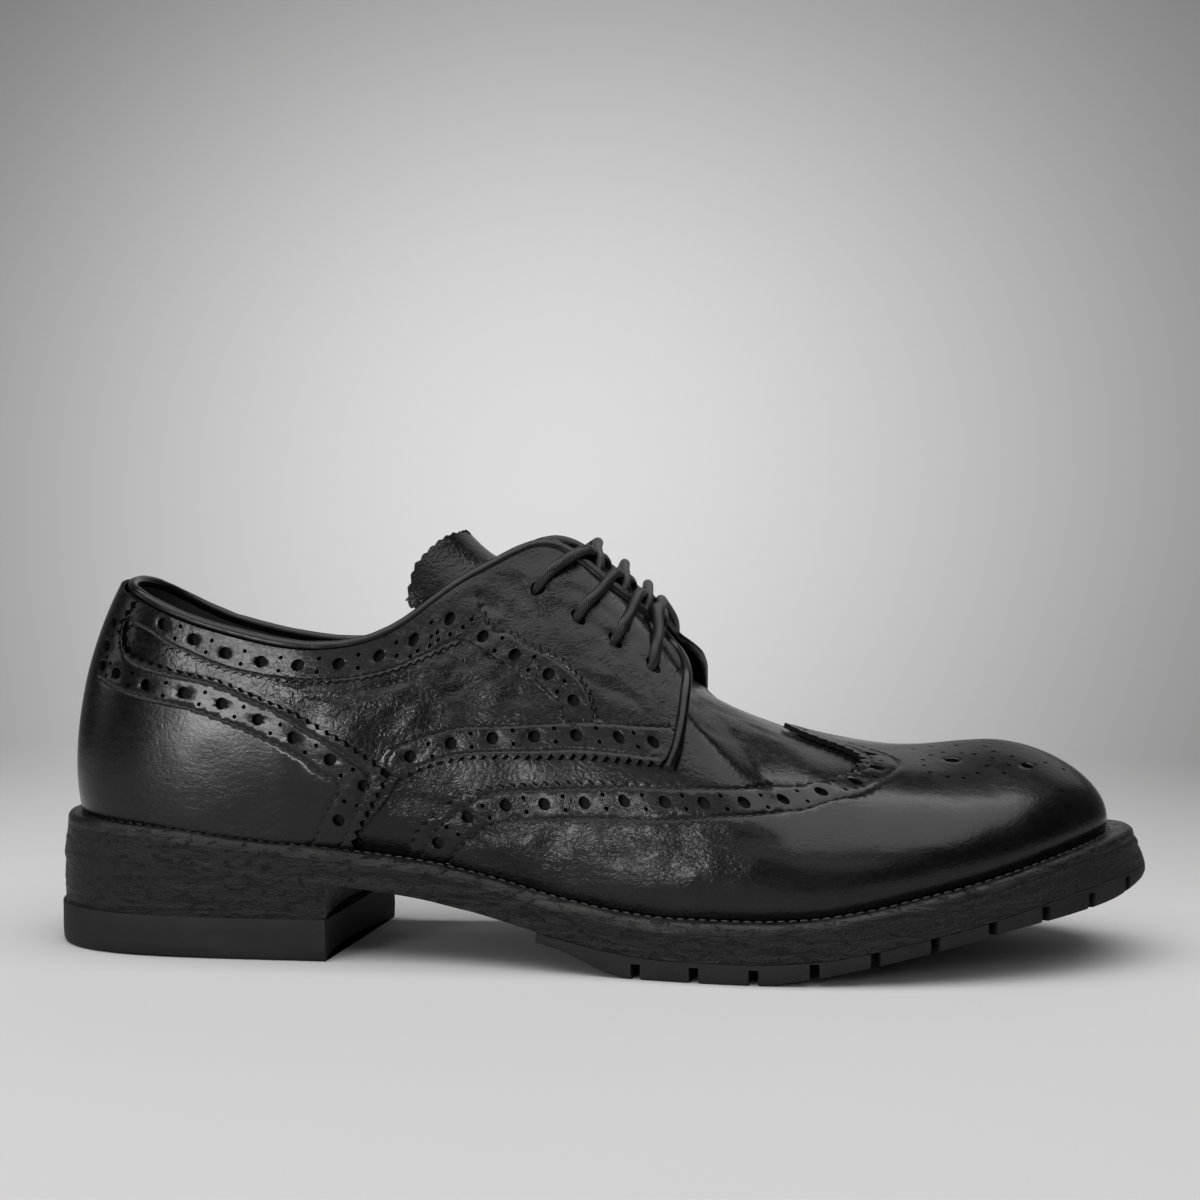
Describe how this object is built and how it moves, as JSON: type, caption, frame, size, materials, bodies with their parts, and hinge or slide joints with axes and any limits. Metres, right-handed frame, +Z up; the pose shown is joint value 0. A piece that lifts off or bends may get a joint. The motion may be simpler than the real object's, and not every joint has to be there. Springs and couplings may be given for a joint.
{
  "type": "brogue shoe",
  "caption": "Black leather derby shoe with a perforated wing cap, laced open facings, a stitched welt and a lugged rubber half sole with a built-up heel.",
  "frame": {"origin": "middle of the heel's flat ground face", "axes": "+X towards the toe, +Y towards the inner side, +Z up"},
  "size_m": [0.3076, 0.1104, 0.1181],
  "materials": {
    "polished_leather": "semi-gloss black, creased",
    "lining": "matt dark lining",
    "sole_leather": "painted black edge, worn",
    "rubber": "matt black",
    "cord": "waxed round cord"
  },
  "bodies": {
    "root": {"upper": "polished_leather", "wing_cap": "polished_leather", "quarter_lateral": "polished_leather", "quarter_medial": "polished_leather", "counter": "polished_leather", "collar_binding": "polished_leather", "tongue": "lining", "insole": "lining", "welt": "sole_leather", "midsole": "sole_leather", "heel_stack": "sole_leather", "outsole_tread": "rubber", "heel_top_piece": "rubber", "lace_row_1": "cord", "lace_row_2": "cord", "lace_row_3": "cord", "lace_row_4": "cord"}
  },
  "joints": []
}
